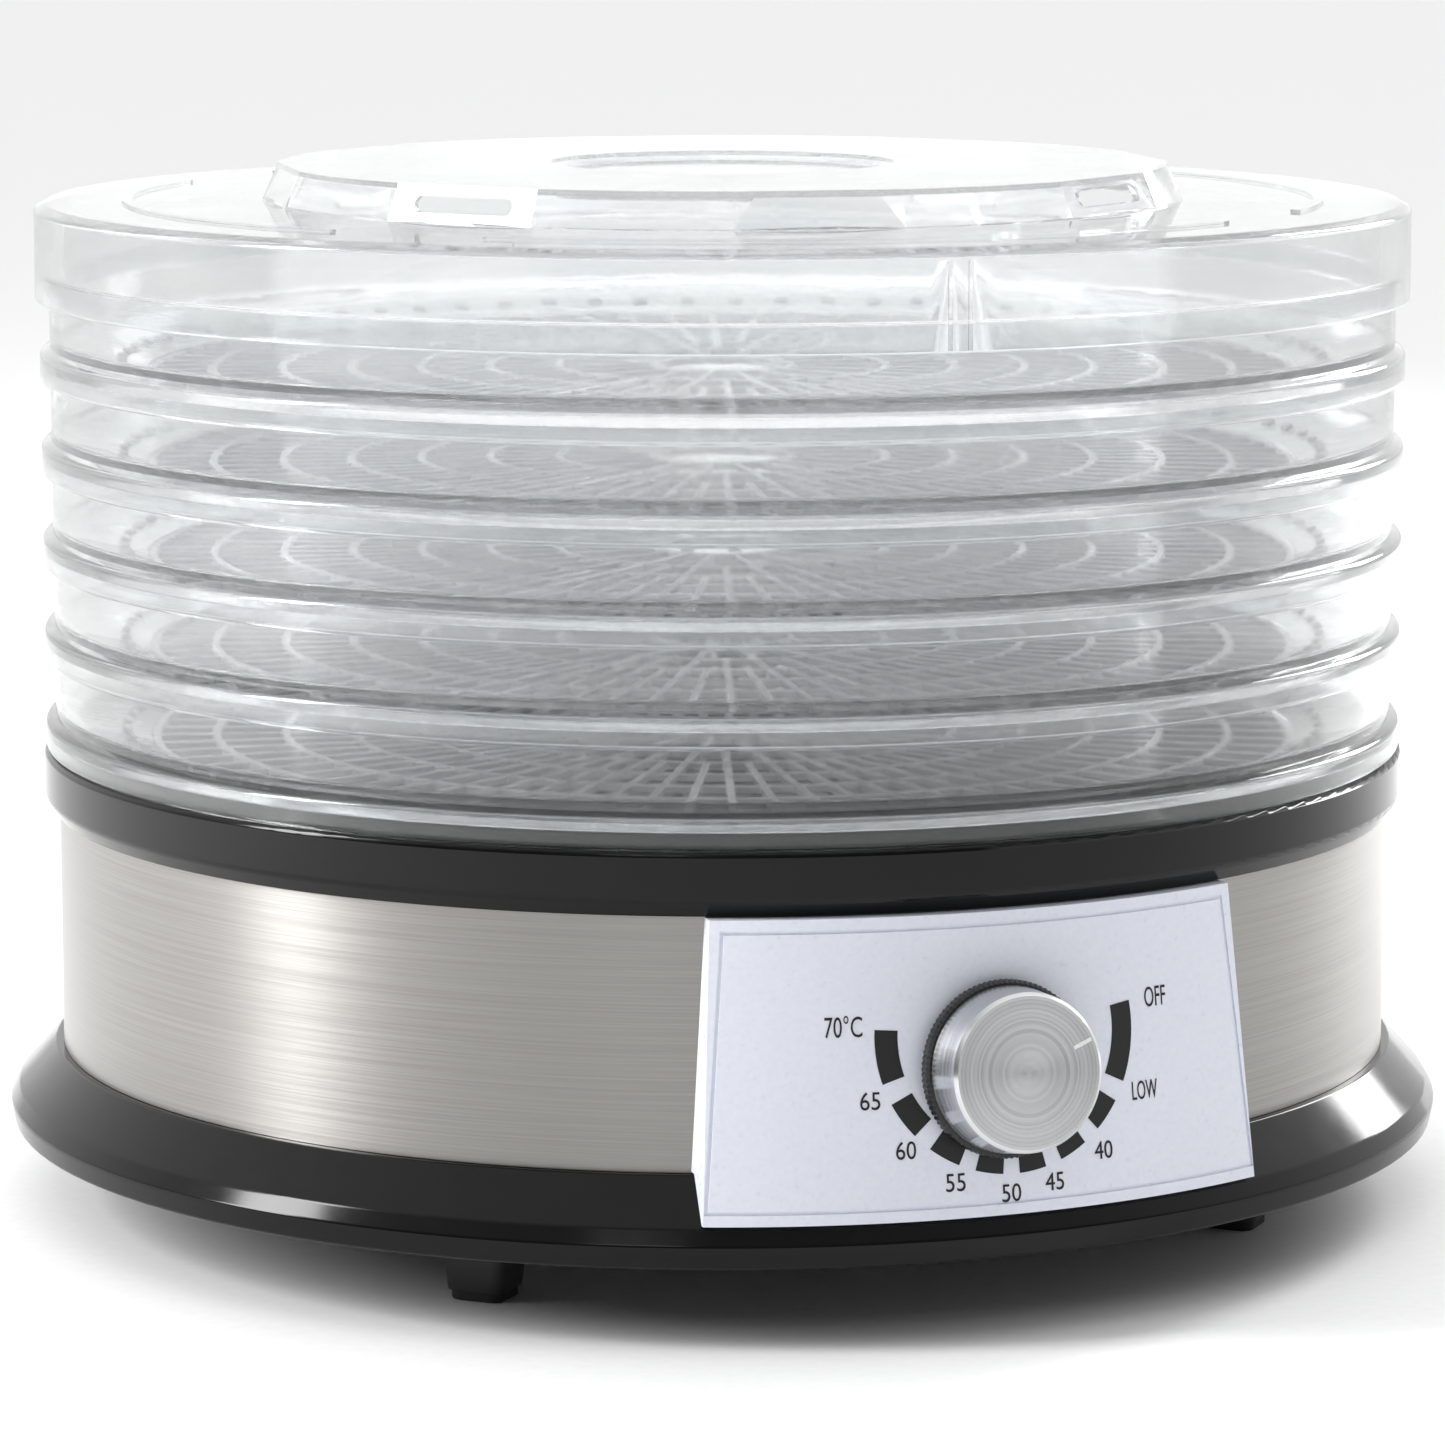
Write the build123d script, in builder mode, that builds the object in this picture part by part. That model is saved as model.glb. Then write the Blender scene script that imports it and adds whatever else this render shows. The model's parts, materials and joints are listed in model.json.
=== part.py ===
"""Round five-tray food dehydrator: fan base, dial panel, stacked trays and domed lid.

Millimetres, +Z up.  The origin is the middle of the footprint's box on the worktop, knob
included, and the control panel faces -Y.  Each piece is drawn with the stack's axis on Z
and moved back to AXIS_Y as it is saved.
"""
import os
from math import atan2, cos, degrees, radians, sin, tan

from build123d import *

# ---- Driving dimensions -------------------------------------------------------------
AXIS_Y = 5.0              # the stack's axis stands this far behind the origin
FOOT_DROP = 18.0          # height of the flare's bottom edge above the worktop
FLARE_R = 167.0           # widest radius, at the foot of the flared skirt
STEEL_R = 154.5           # outside of the brushed band
STEEL_T = 0.8
STEEL_BOTTOM = FOOT_DROP + 18.2
RING_BOTTOM = FOOT_DROP + 73.3
SEAT_Z = FOOT_DROP + 87.3     # where the bottom tray's bead rests
RING_R = 157.8

TRAY_COUNT = 5
TRAY_PITCH = 21.2
TRAY_WALL_R = 155.0
TRAY_WALL = 1.6
BEAD_R = 157.3
BEAD_H = 6.6
NEST = 3.6                # how far a wall's top enters the bead above it
SIDE_GAP = 0.4            # clearance between a wall's top and the bead around it
STACK_GAP = 0.2
GRID_R = 133.0
GRID_T = 1.8
GRID_LIFT = 0.4           # underside of the grid above the bead's foot
GRID_HOLE_R = 15.0
GRID_RINGS = (38.0, 54.0, 70.0, 86.0, 102.0, 118.0, 133.0)
RING_BAR = 2.0
GRID_SPOKES = 36
SPOKE_W = 2.4

LID_SKIRT_R = 158.2
LID_WALL = 1.7
LID_BOTTOM = FOOT_DROP + 190.9
LID_RIM_Z = FOOT_DROP + 211.5
LID_DECK_Z = FOOT_DROP + 212.8
DOME_Z = FOOT_DROP + 221.0
DOME_FOOT_R = 106.0
DOME_TOP_R = 102.4
DOME_RECESS_R = 38.6
LID_TURN = -9.5           # azimuth of the lid's plain facet from the front, degrees
FACET_COUNT = 8
FACET_HALF_ANGLE = 10.3

PANEL_TOP = RING_BOTTOM - 0.2
PANEL_BOTTOM = FOOT_DROP + 9.4
PANEL_TOP_R = 158.6
PANEL_BOTTOM_R = 166.4
PANEL_TOP_HALF = 60.0
PANEL_BOTTOM_HALF = 66.2
PANEL_SIDE_DRAFT = 7.0
PANEL_WALL = 2.6

KNOB_R = 18.9             # knurled flange next to the panel
KNOB_CAP_R = 16.8
KNOB_DROP = 1.0           # knob below the middle of the panel
KNOB_FRONT = 14.2         # front of the cap above the panel face
SPINDLE_R = 3.0
RUNNING = 0.05            # radial clearance of a shaft in its bush
BUSH_R = 4.5              # threaded bush of the thermostat
BRACKET_FRONT = -13.0     # bracket's front, behind the panel face
BRACKET_T = 1.5
BOSS_SCREW_R = 1.3

INLET_Z = FOOT_DROP + 38.0    # mains lead's hole at the back
INLET_HOLE_R = 6.4
INLET_BORE_R = 3.7

FLOOR_Z = FOOT_DROP + 2.6     # underside of the bottom cover
COVER_T = 2.2
COVER_R = 158.0
DECK_Z = SEAT_Z - 5.7         # underside of the air deck
DECK_T = 2.4
DUCT_R = 47.0
FAN_R = 41.0
FAN_H = 13.0
STATOR_T = 16.0
COIL_Y = 22.5
STRAP_T = 1.5
ROTOR_R = 11.0
SHAFT_R = 2.0
FOOT_SCREW_R = 1.7
FOOT_CIRCLE_R = 128.0
FOOT_ANGLES = {"front_left": 225, "front_right": 315, "rear_right": 45, "rear_left": 135}

COVER_TOP = FLOOR_Z + COVER_T
MOTOR_Z = COVER_TOP + 10.2           # underside of the laminations
STATOR_TOP = MOTOR_Z + STATOR_T
LOWER_STRAP_Z = COVER_TOP + 4.0
UPPER_STRAP_Z = STATOR_TOP + 6.5
FAN_Z = UPPER_STRAP_Z + STRAP_T + 7.0
DUCT_BOTTOM = FAN_Z - 3.0
PANEL_SLOPE = (PANEL_BOTTOM_R - PANEL_TOP_R) / (PANEL_TOP - PANEL_BOTTOM)
KNOB_Z = (PANEL_TOP + PANEL_BOTTOM) / 2 - KNOB_DROP
KNOB_FACE_R = PANEL_TOP_R + PANEL_SLOPE * (PANEL_TOP - KNOB_Z)
KNOB_TILT = degrees(atan2(PANEL_SLOPE, 1.0))
KNOB_PLANE = Plane(
    origin=(0, -KNOB_FACE_R, KNOB_Z),
    x_dir=(1, 0, 0),
    z_dir=(0, -cos(radians(KNOB_TILT)), sin(radians(KNOB_TILT))),
)

os.makedirs("parts", exist_ok=True)


def save(part, name):
    """Set a finished piece on the stack's axis, label it and write its own STEP file."""
    placed = part.moved(Location((0, AXIS_Y, 0)))
    placed.label = name
    export_step(placed, f"parts/{name}.step")


def turned(corners, radii=None):
    """A piece of revolution about Z from its section's (radius, height) corners."""
    with BuildPart() as piece:
        with BuildSketch(Plane.XZ):
            with BuildLine():
                FilletPolyline(*corners, radius=radii or [0] * len(corners), close=True)
            make_face()
        revolve(axis=Axis.Z)
    return piece.part


def tube(radius_out, radius_in, low, high):
    """A plain cylinder wall between two heights."""
    with BuildPart() as piece:
        with BuildSketch(Plane.XY.offset(low)):
            Circle(radius_out)
            if radius_in > 0:
                Circle(radius_in, mode=Mode.SUBTRACT)
        extrude(amount=high - low)
    return piece.part


# ---- Base housing -------------------------------------------------------------------
def make_base_skirt():
    """Flared black skirt: a sloped shoulder over a short upright edge, open inside."""
    flange_r = 149.8
    corners = [
        (150.6, STEEL_BOTTOM + 8.0),
        (STEEL_R - STEEL_T - 0.4, STEEL_BOTTOM + 8.0),
        (STEEL_R - STEEL_T - 0.4, STEEL_BOTTOM - 0.1),
        (156.2, STEEL_BOTTOM - 0.1),
        (FLARE_R - 2.0, FOOT_DROP + 8.6),
        (FLARE_R, FOOT_DROP + 5.0),
        (FLARE_R - 1.0, FOOT_DROP),
        (flange_r, FOOT_DROP),
        (flange_r, FLOOR_Z - 0.1),
        (FLARE_R - 3.0, FLOOR_Z - 0.1),
        (FLARE_R - 4.8, FOOT_DROP + 7.4),
        (153.0, STEEL_BOTTOM - 2.6),
        (150.6, STEEL_BOTTOM - 2.6),
    ]
    save(turned(corners, [0, 0, 0, 0.8, 3.0, 1.5, 1.0, 0, 0, 0, 0, 0, 0]), "base_skirt")


def make_bottom_cover():
    """Floor plate with three rings of slots that let air in under the fan."""
    slot_rings = ((26.0, 12), (44.0, 20), (62.0, 28))
    slot_length = 13.0
    slot_width = 3.2
    with BuildPart() as cover:
        with BuildSketch(Plane.XY.offset(FLOOR_Z)):
            Circle(COVER_R)
            for ring_r, count in slot_rings:
                with PolarLocations(ring_r, count):
                    SlotOverall(slot_length, slot_width, mode=Mode.SUBTRACT)
        extrude(amount=COVER_T)
        with BuildSketch(Plane.XY.offset(FLOOR_Z)):
            with PolarLocations(FOOT_CIRCLE_R, 4, start_angle=45):
                Circle(FOOT_SCREW_R + 0.3)
        extrude(amount=COVER_T, mode=Mode.SUBTRACT)
    save(cover.part, "bottom_cover")


def make_feet():
    """Four tapered blocks, each with a screw up its middle and a rubber pad below."""
    top_w, bottom_w, depth = 17.6, 13.8, 16.0
    pad_t = 2.4
    head_r, head_h = 3.2, 2.2
    head_z = FOOT_DROP * 0.5
    with BuildPart() as screws:
        for angle in FOOT_ANGLES.values():
            x = FOOT_CIRCLE_R * cos(radians(angle))
            y = FOOT_CIRCLE_R * sin(radians(angle))
            with BuildSketch(Plane.XY.offset(head_z)):
                with Locations((x, y)):
                    Circle(head_r)
            extrude(amount=head_h)
            with BuildSketch(Plane.XY.offset(head_z + head_h)):
                with Locations((x, y)):
                    Circle(FOOT_SCREW_R)
            extrude(amount=COVER_TOP + 0.6 - head_z - head_h)
    save(screws.part, "foot_screws")
    for corner, angle in FOOT_ANGLES.items():
        spot = Plane.XY.rotated((0, 0, angle))
        with BuildPart() as foot:
            with BuildSketch(spot.offset(pad_t)):
                with Locations((FOOT_CIRCLE_R, 0)):
                    RectangleRounded(depth - 3.0, bottom_w, 3.0)
            with BuildSketch(spot.offset(FLOOR_Z)):
                with Locations((FOOT_CIRCLE_R, 0)):
                    RectangleRounded(depth, top_w, 3.0)
            loft()
            with BuildSketch(spot.offset(pad_t)):
                with Locations((FOOT_CIRCLE_R, 0)):
                    Circle(head_r + 0.3)
            extrude(amount=head_z + head_h - pad_t, mode=Mode.SUBTRACT)
            with BuildSketch(spot.offset(pad_t)):
                with Locations((FOOT_CIRCLE_R, 0)):
                    Circle(FOOT_SCREW_R + 0.15)
            extrude(amount=FLOOR_Z - pad_t, mode=Mode.SUBTRACT)
        save(foot.part, f"foot_{corner}")
        with BuildPart() as pad:
            with BuildSketch(spot):
                with Locations((FOOT_CIRCLE_R, 0)):
                    RectangleRounded(depth - 4.4, bottom_w - 1.2, 3.0)
            extrude(amount=pad_t)
            fillet(pad.faces().sort_by(Axis.Z)[0].edges(), 0.6)
        save(pad.part, f"foot_pad_{corner}")


def make_steel_band():
    """Brushed band in two strips: the long one with a window behind the dial, and a rear joint plate
    with a hole for the inlet grommet."""
    window_w, window_h = 60.0, 40.0
    plate_w = 60.0
    with BuildPart() as band:
        with BuildSketch(Plane.XY.offset(STEEL_BOTTOM)):
            Circle(STEEL_R)
            Circle(STEEL_R - STEEL_T, mode=Mode.SUBTRACT)
        extrude(amount=RING_BOTTOM + 5.8 - STEEL_BOTTOM)
        with BuildSketch(Plane.XZ.offset(140)):
            with Locations((0, KNOB_Z)):
                Rectangle(window_w, window_h)
        extrude(amount=30, mode=Mode.SUBTRACT)
        with BuildSketch(Plane.XZ.offset(-140)):
            with Locations((0, INLET_Z)):
                Circle(INLET_HOLE_R)
        extrude(amount=-30, mode=Mode.SUBTRACT)
    for name, keep in (("steel_band", Mode.SUBTRACT), ("steel_band_rear", Mode.INTERSECT)):
        with BuildPart() as strip:
            add(band.part)
            with Locations((0, STEEL_R, (STEEL_BOTTOM + RING_BOTTOM) / 2)):
                Box(plate_w, 40, 100, mode=keep)
        save(strip.part, name)


def make_inlet_grommet():
    """Rubber grommet that lines the lead's hole at the back of the band."""
    hold = Plane.XZ.offset(-(STEEL_R - 6.0))
    with BuildPart() as grommet:
        with BuildSketch(hold):
            with Locations((0, INLET_Z)):
                Circle(8.6)
        extrude(amount=-4.6)
        with BuildSketch(hold):
            with Locations((0, INLET_Z)):
                Circle(INLET_HOLE_R - 0.1)
        extrude(amount=-7.0)
        with BuildSketch(Plane.XZ.offset(-(STEEL_R + 0.3))):
            with Locations((0, INLET_Z)):
                Circle(9.4)
        extrude(amount=-3.0)
        fillet(grommet.faces().sort_by(Axis.Y)[-1].edges(), 1.0)
        with BuildSketch(hold):
            with Locations((0, INLET_Z)):
                Circle(INLET_BORE_R)
        extrude(amount=-12.0, mode=Mode.SUBTRACT)
    save(grommet.part, "inlet_grommet")


def make_upper_ring():
    """Gloss ring that caps the band, seats the bottom tray and carries the deck."""
    corners = [
        (TRAY_WALL_R, SEAT_Z + NEST),
        (TRAY_WALL_R, SEAT_Z),
        (RING_R, SEAT_Z),
        (RING_R, RING_BOTTOM + 3.4),
        (RING_R - 2.2, RING_BOTTOM),
        (STEEL_R + 0.3, RING_BOTTOM),
        (STEEL_R + 0.3, RING_BOTTOM + 6.2),
        (151.4, RING_BOTTOM + 6.2),
        (151.4, DECK_Z - 2.6),
        (145.5, DECK_Z - 2.6),
        (145.5, DECK_Z),
        (149.0, DECK_Z),
        (149.0, DECK_Z + DECK_T + 0.6),
        (152.4, SEAT_Z),
        (152.4, SEAT_Z + NEST),
    ]
    radii = [0.4, 0, 1.2, 2.6, 0.6, 0, 0, 0, 0, 0, 0, 0, 0, 0, 0.4]
    save(turned(corners, radii), "upper_ring")


def make_air_deck():
    """Floor under the trays, with the fan's outlet in the middle and return slots."""
    slot_w, slot_l = 3.0, 22.0
    with BuildPart() as deck:
        with BuildSketch(Plane.XY.offset(DECK_Z)):
            Circle(148.6)
            Circle(DUCT_R, mode=Mode.SUBTRACT)
            with PolarLocations(76.0, 24):
                SlotOverall(slot_l, slot_w, mode=Mode.SUBTRACT)
            with PolarLocations(110.0, 36):
                SlotOverall(slot_l, slot_w, mode=Mode.SUBTRACT)
        extrude(amount=DECK_T)
    save(deck.part, "air_deck")


def make_outlet_grille():
    """Finger guard over the fan: rings and spokes on a rim that laps the deck."""
    rim_r, bar = 51.0, 1.8
    low = DECK_Z + DECK_T
    with BuildPart() as grille:
        with BuildSketch(Plane.XY.offset(low)):
            Circle(rim_r)
            Circle(rim_r - 4.5, mode=Mode.SUBTRACT)
            for ring_r in (12.0, 24.0, 36.0):
                Circle(ring_r + bar / 2)
                Circle(ring_r - bar / 2, mode=Mode.SUBTRACT)
            with PolarLocations(29.5, 12):
                Rectangle(37.0, bar)
        extrude(amount=1.8)
    save(grille.part, "outlet_grille")


# ---- Control panel and dial ---------------------------------------------------------
def panel_outline(inset=0.0):
    """Corners of the panel's trapezoid in X and Z, drawn in by an inset."""
    rise = PANEL_TOP - PANEL_BOTTOM
    spread = (PANEL_BOTTOM_HALF - PANEL_TOP_HALF) / rise
    low, high = PANEL_BOTTOM + inset, PANEL_TOP - inset
    low_half = PANEL_BOTTOM_HALF - inset - spread * inset
    high_half = PANEL_TOP_HALF - inset + spread * inset
    return [(-low_half, low), (low_half, low), (high_half, high), (-high_half, high)]


def make_control_panel():
    """White wedge on the front: a conical face that stands out more at its foot."""
    boss_r, boss_x = 3.6, 21.0
    groove_inset, groove_w, groove_depth = 2.3, 0.8, 0.45
    draft = tan(radians(PANEL_SIDE_DRAFT))
    start_y = 140.0
    back_off = (160.0 - start_y) * draft
    section = [
        (STEEL_R + 0.2, PANEL_TOP),
        (PANEL_TOP_R, PANEL_TOP),
        (PANEL_BOTTOM_R, PANEL_BOTTOM),
        (PANEL_BOTTOM_R - 1.3, PANEL_BOTTOM),
        (157.0, STEEL_BOTTOM + 0.4),
        (STEEL_R + 0.2, STEEL_BOTTOM + 0.4),
    ]
    face_step = PANEL_SLOPE * PANEL_WALL
    hollow = [
        (STEEL_R, PANEL_TOP - PANEL_WALL),
        (PANEL_TOP_R - PANEL_WALL + face_step, PANEL_TOP - PANEL_WALL),
        (PANEL_BOTTOM_R - PANEL_WALL - 1.6, STEEL_BOTTOM + 3.4),
        (STEEL_R, STEEL_BOTTOM + 3.4),
    ]
    groove_layer = [
        (PANEL_TOP_R - groove_depth, PANEL_TOP),
        (PANEL_TOP_R + 2.0, PANEL_TOP),
        (PANEL_BOTTOM_R + 2.0, PANEL_BOTTOM),
        (PANEL_BOTTOM_R - groove_depth, PANEL_BOTTOM),
    ]
    with BuildPart() as cavity:
        add(turned(hollow))
        with BuildSketch(Plane.XZ.offset(start_y)):
            Polygon(*panel_outline(PANEL_WALL + back_off), align=None)
        extrude(amount=60, taper=-PANEL_SIDE_DRAFT, mode=Mode.INTERSECT)
    with BuildPart() as groove:
        add(turned(groove_layer))
        with BuildSketch(Plane.XZ.offset(start_y)):
            Polygon(*panel_outline(groove_inset), align=None)
            Polygon(*panel_outline(groove_inset + groove_w), align=None, mode=Mode.SUBTRACT)
        extrude(amount=60, mode=Mode.INTERSECT)
    with BuildPart() as panel:
        add(turned(section))
        with BuildSketch(Plane.XZ.offset(start_y)):
            with BuildLine():
                side = panel_outline(0.0)
                shift = [(-back_off, -30), (back_off, -30), (back_off, 30), (-back_off, 30)]
                Polyline(*[(x - dx, z + dz) for (x, z), (dx, dz) in zip(side, shift)], close=True)
            make_face()
        extrude(amount=60, taper=-PANEL_SIDE_DRAFT, mode=Mode.INTERSECT)
        add(cavity.part, mode=Mode.SUBTRACT)
        add(groove.part, mode=Mode.SUBTRACT)
        with BuildSketch(KNOB_PLANE.offset(BRACKET_FRONT)):
            with Locations((-boss_x, 0), (boss_x, 0)):
                Circle(boss_r)
        extrude(amount=-BRACKET_FRONT - 1.8)
        with BuildSketch(KNOB_PLANE.offset(-20)):
            Circle(BUSH_R + 0.4)
        extrude(amount=30, mode=Mode.SUBTRACT)
        with BuildSketch(KNOB_PLANE.offset(BRACKET_FRONT)):
            with Locations((-boss_x, 0), (boss_x, 0)):
                Circle(BOSS_SCREW_R)
        extrude(amount=5.5, mode=Mode.SUBTRACT)
    save(panel.part, "control_panel")


def make_knob():
    """Black knurled flange and core under a spun aluminium cap, on the control's spindle."""
    flange_low, flange_high = 0.6, 3.9
    cap_wall, cap_top = 1.2, 1.3
    core_r = KNOB_CAP_R - cap_wall - 0.1
    core_top = KNOB_FRONT - cap_top - 0.1
    spindle_end = 10.0
    with BuildPart() as skirt:
        with BuildSketch(KNOB_PLANE.offset(flange_low)):
            Circle(KNOB_R)
        extrude(amount=flange_high - flange_low)
        with BuildSketch(KNOB_PLANE.offset(flange_high)):
            Circle(core_r)
        extrude(amount=core_top - flange_high)
        with BuildSketch(KNOB_PLANE.offset(flange_low)):
            Circle(SPINDLE_R)
        extrude(amount=spindle_end - flange_low, mode=Mode.SUBTRACT)
    save(skirt.part, "knob_skirt")
    with BuildPart() as cap:
        with BuildSketch(KNOB_PLANE.offset(flange_high + 0.1)):
            Circle(KNOB_CAP_R + 0.9)
        with BuildSketch(KNOB_PLANE.offset(KNOB_FRONT)):
            Circle(KNOB_CAP_R)
        loft()
        chamfer(cap.faces().sort_by(Axis.Y)[0].edges(), 0.7)
        with BuildSketch(KNOB_PLANE.offset(flange_high)):
            Circle(KNOB_CAP_R - cap_wall)
        extrude(amount=KNOB_FRONT - cap_top - flange_high, mode=Mode.SUBTRACT)
    save(cap.part, "knob_cap")
    with BuildPart() as spindle:
        with BuildSketch(KNOB_PLANE.offset(-30)):
            Circle(SPINDLE_R)
        extrude(amount=30 + spindle_end)
    save(spindle.part, "thermostat_spindle")


def make_thermostat():
    """Capillary-style control behind the panel: body, threaded bush, bracket and nut."""
    body_w, body_h, body_d = 34.0, 28.0, 22.0
    body_front = BRACKET_FRONT - BRACKET_T - 0.1
    bush_front = -4.6
    bore_r = SPINDLE_R + RUNNING
    with BuildPart() as body:
        with BuildSketch(KNOB_PLANE.offset(body_front)):
            RectangleRounded(body_w, body_h, 3.0)
        extrude(amount=-body_d)
        with BuildSketch(KNOB_PLANE.offset(body_front)):
            Circle(BUSH_R)
        extrude(amount=bush_front - body_front)
        with BuildSketch(KNOB_PLANE.offset(-30.5)):
            Circle(bore_r)
        extrude(amount=40, mode=Mode.SUBTRACT)
    save(body.part, "thermostat_body")
    with BuildPart() as bracket:
        with BuildSketch(KNOB_PLANE.offset(BRACKET_FRONT - 0.05)):
            RectangleRounded(54.0, 20.0, 4.0)
            Circle(BUSH_R + 0.1, mode=Mode.SUBTRACT)
            with Locations((-21.0, 0), (21.0, 0)):
                Circle(1.6, mode=Mode.SUBTRACT)
        extrude(amount=-BRACKET_T)
    save(bracket.part, "thermostat_bracket")
    with BuildPart() as nut:
        with BuildSketch(KNOB_PLANE.offset(BRACKET_FRONT)):
            RegularPolygon(6.6, 6)
            Circle(BUSH_R, mode=Mode.SUBTRACT)
        extrude(amount=3.2)
    save(nut.part, "thermostat_nut")
    head_z = BRACKET_FRONT - BRACKET_T - 0.05
    with BuildPart() as screws:
        with BuildSketch(KNOB_PLANE.offset(head_z)):
            with Locations((-21.0, 0), (21.0, 0)):
                Circle(2.6)
        extrude(amount=-1.8)
        with BuildSketch(KNOB_PLANE.offset(head_z)):
            with Locations((-21.0, 0), (21.0, 0)):
                Circle(BOSS_SCREW_R)
        extrude(amount=6.0)
    save(screws.part, "bracket_screws")


# ---- Fan, motor and heater ----------------------------------------------------------
def make_motor():
    """Shaded-pole motor: laminations, coil on the bridge, straps, bushes and rotor."""
    stator_w, stator_front, stator_back = 62.0, -24.0, 30.0
    window_w, window_d = 34.0, 5.6
    window_y = COIL_Y - 4.0
    strap_w = 13.0
    leg_x = 27.5
    bush_out, bush_in = 5.0, SHAFT_R + RUNNING
    with BuildPart() as stator:
        with BuildSketch(Plane.XY.offset(MOTOR_Z)):
            with Locations((0, (stator_front + stator_back) / 2)):
                RectangleRounded(stator_w, stator_back - stator_front, 2.0)
            Circle(ROTOR_R + 0.4, mode=Mode.SUBTRACT)
            with Locations((0, window_y)):
                Rectangle(window_w, window_d, mode=Mode.SUBTRACT)
        extrude(amount=STATOR_T)
    save(stator.part, "motor_stator")
    bridge_start = window_y + window_d / 2
    with BuildPart() as coil:
        with BuildSketch(Plane.YZ.offset(-15.5)):
            with Locations(((bridge_start + stator_back) / 2, MOTOR_Z + STATOR_T / 2)):
                RectangleRounded(stator_back - bridge_start + 9.0, STATOR_T + 9.0, 3.0)
                Rectangle(stator_back - bridge_start + 0.4, STATOR_T + 0.4, mode=Mode.SUBTRACT)
        extrude(amount=31.0)
    save(coil.part, "motor_coil")
    for name, low, foot_low, foot_high in (
        ("motor_bracket_lower", LOWER_STRAP_Z, COVER_TOP, MOTOR_Z),
        ("motor_bracket_upper", UPPER_STRAP_Z, STATOR_TOP, UPPER_STRAP_Z + STRAP_T),
    ):
        with BuildPart() as bracket:
            with BuildSketch(Plane.XY.offset(low)):
                Rectangle(2 * leg_x + 3.0, strap_w)
                Circle(bush_out, mode=Mode.SUBTRACT)
            extrude(amount=STRAP_T)
            with BuildSketch(Plane.XY.offset(foot_low)):
                with Locations((-leg_x, 0), (leg_x, 0)):
                    Rectangle(3.0, strap_w)
            extrude(amount=foot_high - foot_low)
        save(bracket.part, name)
    save(tube(bush_out, bush_in, LOWER_STRAP_Z - 1.2, LOWER_STRAP_Z + 4.4), "bearing_lower")
    save(tube(bush_out, bush_in, UPPER_STRAP_Z - 3.0, UPPER_STRAP_Z + 3.0), "bearing_upper")
    save(tube(ROTOR_R, SHAFT_R, MOTOR_Z - 0.4, STATOR_TOP + 0.4), "motor_rotor")
    save(tube(SHAFT_R, 0, LOWER_STRAP_Z - 0.6, FAN_Z + FAN_H + 1.6), "motor_shaft")


def make_fan():
    """Axial impeller with pitched blades, held on the shaft by a push-on clip."""
    hub_r, blade_count, blade_t = 11.0, 7, 1.6
    blade_pitch = 34.0
    blade_w = FAN_H / sin(radians(blade_pitch)) * 0.86
    with BuildPart() as fan:
        with BuildSketch(Plane.XY.offset(FAN_Z)):
            Circle(hub_r)
        extrude(amount=FAN_H)
        for index in range(blade_count):
            turn = 360.0 / blade_count * index
            root = Plane.XY.rotated((0, 0, turn))
            blade_plane = Plane(
                origin=root.from_local_coords((hub_r - 1.5, 0, FAN_Z + FAN_H / 2)),
                x_dir=root.y_dir,
                z_dir=root.x_dir,
            )
            with BuildSketch(blade_plane):
                Rectangle(blade_w, blade_t, rotation=blade_pitch)
            extrude(amount=FAN_R - hub_r + 1.5)
        with BuildSketch(Plane.XY.offset(FAN_Z - 1)):
            Circle(FAN_R)
            Circle(SHAFT_R, mode=Mode.SUBTRACT)
        extrude(amount=FAN_H + 2, mode=Mode.INTERSECT)
    save(fan.part, "fan_impeller")
    save(tube(4.5, SHAFT_R, FAN_Z + FAN_H, FAN_Z + FAN_H + 1.0), "fan_clip")


def make_heater():
    """Mica cross with two nichrome rings on top, inside a sheet-metal duct."""
    arm_t, arm_h = 1.2, 9.0
    wire_r = 1.1
    rings = (24.0, 35.0)
    ring_z = DECK_Z - 3.4
    arm_top = ring_z - wire_r
    with BuildPart() as duct:
        with BuildSketch(Plane.XY.offset(DUCT_BOTTOM)):
            Circle(DUCT_R - 0.2)
            Circle(DUCT_R - 1.0, mode=Mode.SUBTRACT)
        extrude(amount=DECK_Z - DUCT_BOTTOM)
        with BuildSketch(Plane.XY.offset(DECK_Z - 0.8)):
            Circle(DUCT_R + 6.0)
            Circle(DUCT_R - 1.0, mode=Mode.SUBTRACT)
        extrude(amount=0.8)
    save(duct.part, "heater_duct")
    with BuildPart() as cross:
        with BuildSketch(Plane.XY.offset(arm_top - arm_h)):
            Rectangle(2 * (DUCT_R - 1.2), arm_t)
            Rectangle(arm_t, 2 * (DUCT_R - 1.2))
        extrude(amount=arm_h)
        with BuildSketch(Plane.XY.offset(arm_top - arm_h - 1)):
            Circle(6.0)
        extrude(amount=5.0, mode=Mode.SUBTRACT)
    save(cross.part, "heater_frame")
    with BuildPart() as element:
        for ring_r in rings:
            with BuildSketch(Plane.XZ):
                with Locations((ring_r, ring_z)):
                    Circle(wire_r)
            revolve(axis=Axis.Z)
    save(element.part, "heater_element")
    fuse_plane = Plane.XY.offset(DECK_Z - 20.0)
    with BuildPart() as fuse:
        with BuildSketch(fuse_plane):
            with Locations((DUCT_R + 3.2, 0)):
                Circle(2.6)
        extrude(amount=13.0)
        chamfer(fuse.edges().filter_by(GeomType.CIRCLE), 0.5)
    save(fuse.part, "thermal_fuse")


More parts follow.
